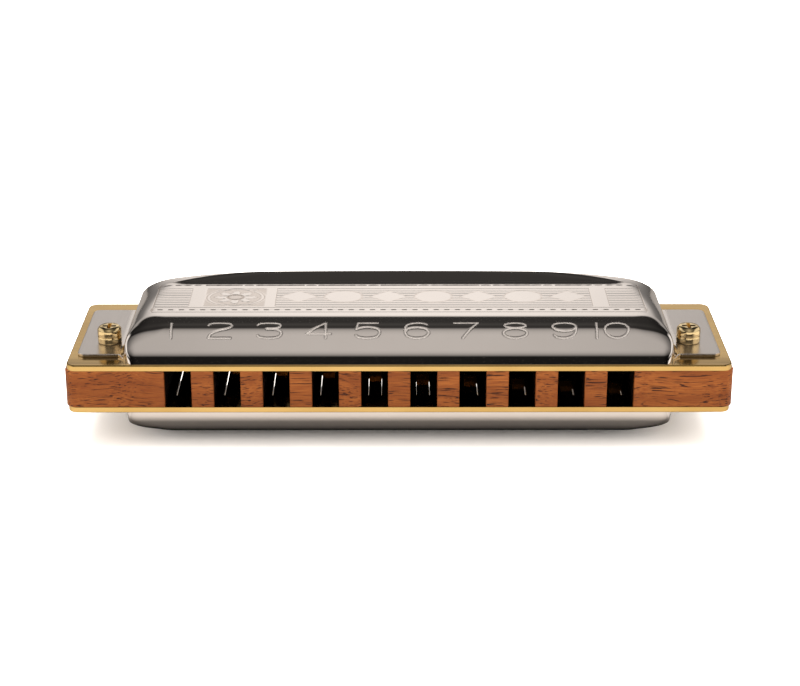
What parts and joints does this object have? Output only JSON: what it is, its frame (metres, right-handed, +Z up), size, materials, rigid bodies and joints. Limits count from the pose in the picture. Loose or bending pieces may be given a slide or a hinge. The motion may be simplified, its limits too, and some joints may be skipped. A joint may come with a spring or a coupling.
{
  "type": "diatonic harmonica",
  "caption": "Small mouth organ with a wooden comb between brass reed plates, polished steel covers open at the rear, end bolts, and a sprung reed for every blow and draw note.",
  "frame": {"origin": "middle of the footprint, level with the lowest edge of the lower cover", "axes": "+X runs along the holes from the first to the last, -Y faces the player's mouth, +Z is up through the upper cover"},
  "size_m": [0.102, 0.027, 0.0211],
  "materials": {
    "comb_wood": "sealed dark reddish brown, fine dark pores along the length",
    "plate_brass": "bright satin brass",
    "cover_steel": "polished stainless steel",
    "reed_brass": "satin",
    "bolt_brass": "polished pale brass",
    "screw_steel": "satin"
  },
  "bodies": {
    "harmonica_body": {"comb": "comb_wood", "upper_reed_plate": "plate_brass", "lower_reed_plate": "plate_brass", "upper_cover": "cover_steel", "lower_cover": "cover_steel", "blow_reed_pads": "reed_brass", "draw_reed_pads": "reed_brass", "blow_rivets": "reed_brass", "draw_rivets": "reed_brass", "cover_bolt_left": "bolt_brass", "cover_bolt_right": "bolt_brass", "cover_nut_left": "bolt_brass", "cover_nut_right": "bolt_brass", "reed_plate_screws": "screw_steel"},
    "blow_reed_01": {"blow_reed_01": "reed_brass"},
    "blow_reed_02": {"blow_reed_02": "reed_brass"},
    "blow_reed_03": {"blow_reed_03": "reed_brass"},
    "blow_reed_04": {"blow_reed_04": "reed_brass"},
    "blow_reed_05": {"blow_reed_05": "reed_brass"},
    "blow_reed_06": {"blow_reed_06": "reed_brass"},
    "blow_reed_07": {"blow_reed_07": "reed_brass"},
    "blow_reed_08": {"blow_reed_08": "reed_brass"},
    "blow_reed_09": {"blow_reed_09": "reed_brass"},
    "blow_reed_10": {"blow_reed_10": "reed_brass"},
    "draw_reed_01": {"draw_reed_01": "reed_brass"},
    "draw_reed_02": {"draw_reed_02": "reed_brass"},
    "draw_reed_03": {"draw_reed_03": "reed_brass"},
    "draw_reed_04": {"draw_reed_04": "reed_brass"},
    "draw_reed_05": {"draw_reed_05": "reed_brass"},
    "draw_reed_06": {"draw_reed_06": "reed_brass"},
    "draw_reed_07": {"draw_reed_07": "reed_brass"},
    "draw_reed_08": {"draw_reed_08": "reed_brass"},
    "draw_reed_09": {"draw_reed_09": "reed_brass"},
    "draw_reed_10": {"draw_reed_10": "reed_brass"}
  },
  "joints": [
    {"name": "blow_reed_01_flex", "type": "hinge", "parent": "harmonica_body", "child": "blow_reed_01", "pos_m": [-0.03375, 0.00536, 0.01342], "axis": [1, 0, 0], "range_deg": [-6, 6], "stiffness_Nm_per_rad": 0.002},
    {"name": "blow_reed_02_flex", "type": "hinge", "parent": "harmonica_body", "child": "blow_reed_02", "pos_m": [-0.02625, 0.00436, 0.01342], "axis": [1, 0, 0], "range_deg": [-6, 6], "stiffness_Nm_per_rad": 0.002},
    {"name": "blow_reed_03_flex", "type": "hinge", "parent": "harmonica_body", "child": "blow_reed_03", "pos_m": [-0.01875, 0.00336, 0.01342], "axis": [1, 0, 0], "range_deg": [-6, 6], "stiffness_Nm_per_rad": 0.002},
    {"name": "blow_reed_04_flex", "type": "hinge", "parent": "harmonica_body", "child": "blow_reed_04", "pos_m": [-0.01125, 0.00236, 0.01342], "axis": [1, 0, 0], "range_deg": [-6, 6], "stiffness_Nm_per_rad": 0.002},
    {"name": "blow_reed_05_flex", "type": "hinge", "parent": "harmonica_body", "child": "blow_reed_05", "pos_m": [-0.00375, 0.00096, 0.01342], "axis": [1, 0, 0], "range_deg": [-6, 6], "stiffness_Nm_per_rad": 0.002},
    {"name": "blow_reed_06_flex", "type": "hinge", "parent": "harmonica_body", "child": "blow_reed_06", "pos_m": [0.00375, -0.00034, 0.01342], "axis": [1, 0, 0], "range_deg": [-6, 6], "stiffness_Nm_per_rad": 0.002},
    {"name": "blow_reed_07_flex", "type": "hinge", "parent": "harmonica_body", "child": "blow_reed_07", "pos_m": [0.01125, -0.00104, 0.01342], "axis": [1, 0, 0], "range_deg": [-6, 6], "stiffness_Nm_per_rad": 0.002},
    {"name": "blow_reed_08_flex", "type": "hinge", "parent": "harmonica_body", "child": "blow_reed_08", "pos_m": [0.01875, -0.00234, 0.01342], "axis": [1, 0, 0], "range_deg": [-6, 6], "stiffness_Nm_per_rad": 0.002},
    {"name": "blow_reed_09_flex", "type": "hinge", "parent": "harmonica_body", "child": "blow_reed_09", "pos_m": [0.02625, -0.00324, 0.01342], "axis": [1, 0, 0], "range_deg": [-6, 6], "stiffness_Nm_per_rad": 0.002},
    {"name": "blow_reed_10_flex", "type": "hinge", "parent": "harmonica_body", "child": "blow_reed_10", "pos_m": [0.03375, -0.00404, 0.01342], "axis": [1, 0, 0], "range_deg": [-6, 6], "stiffness_Nm_per_rad": 0.002},
    {"name": "draw_reed_01_flex", "type": "hinge", "parent": "harmonica_body", "child": "draw_reed_01", "pos_m": [-0.03375, 0.00536, 0.00653], "axis": [1, 0, 0], "range_deg": [-6, 6], "stiffness_Nm_per_rad": 0.002},
    {"name": "draw_reed_02_flex", "type": "hinge", "parent": "harmonica_body", "child": "draw_reed_02", "pos_m": [-0.02625, 0.00436, 0.00653], "axis": [1, 0, 0], "range_deg": [-6, 6], "stiffness_Nm_per_rad": 0.002},
    {"name": "draw_reed_03_flex", "type": "hinge", "parent": "harmonica_body", "child": "draw_reed_03", "pos_m": [-0.01875, 0.00336, 0.00653], "axis": [1, 0, 0], "range_deg": [-6, 6], "stiffness_Nm_per_rad": 0.002},
    {"name": "draw_reed_04_flex", "type": "hinge", "parent": "harmonica_body", "child": "draw_reed_04", "pos_m": [-0.01125, 0.00236, 0.00653], "axis": [1, 0, 0], "range_deg": [-6, 6], "stiffness_Nm_per_rad": 0.002},
    {"name": "draw_reed_05_flex", "type": "hinge", "parent": "harmonica_body", "child": "draw_reed_05", "pos_m": [-0.00375, 0.00096, 0.00653], "axis": [1, 0, 0], "range_deg": [-6, 6], "stiffness_Nm_per_rad": 0.002},
    {"name": "draw_reed_06_flex", "type": "hinge", "parent": "harmonica_body", "child": "draw_reed_06", "pos_m": [0.00375, -0.00034, 0.00653], "axis": [1, 0, 0], "range_deg": [-6, 6], "stiffness_Nm_per_rad": 0.002},
    {"name": "draw_reed_07_flex", "type": "hinge", "parent": "harmonica_body", "child": "draw_reed_07", "pos_m": [0.01125, -0.00104, 0.00653], "axis": [1, 0, 0], "range_deg": [-6, 6], "stiffness_Nm_per_rad": 0.002},
    {"name": "draw_reed_08_flex", "type": "hinge", "parent": "harmonica_body", "child": "draw_reed_08", "pos_m": [0.01875, -0.00234, 0.00653], "axis": [1, 0, 0], "range_deg": [-6, 6], "stiffness_Nm_per_rad": 0.002},
    {"name": "draw_reed_09_flex", "type": "hinge", "parent": "harmonica_body", "child": "draw_reed_09", "pos_m": [0.02625, -0.00324, 0.00653], "axis": [1, 0, 0], "range_deg": [-6, 6], "stiffness_Nm_per_rad": 0.002},
    {"name": "draw_reed_10_flex", "type": "hinge", "parent": "harmonica_body", "child": "draw_reed_10", "pos_m": [0.03375, -0.00404, 0.00653], "axis": [1, 0, 0], "range_deg": [-6, 6], "stiffness_Nm_per_rad": 0.002}
  ]
}
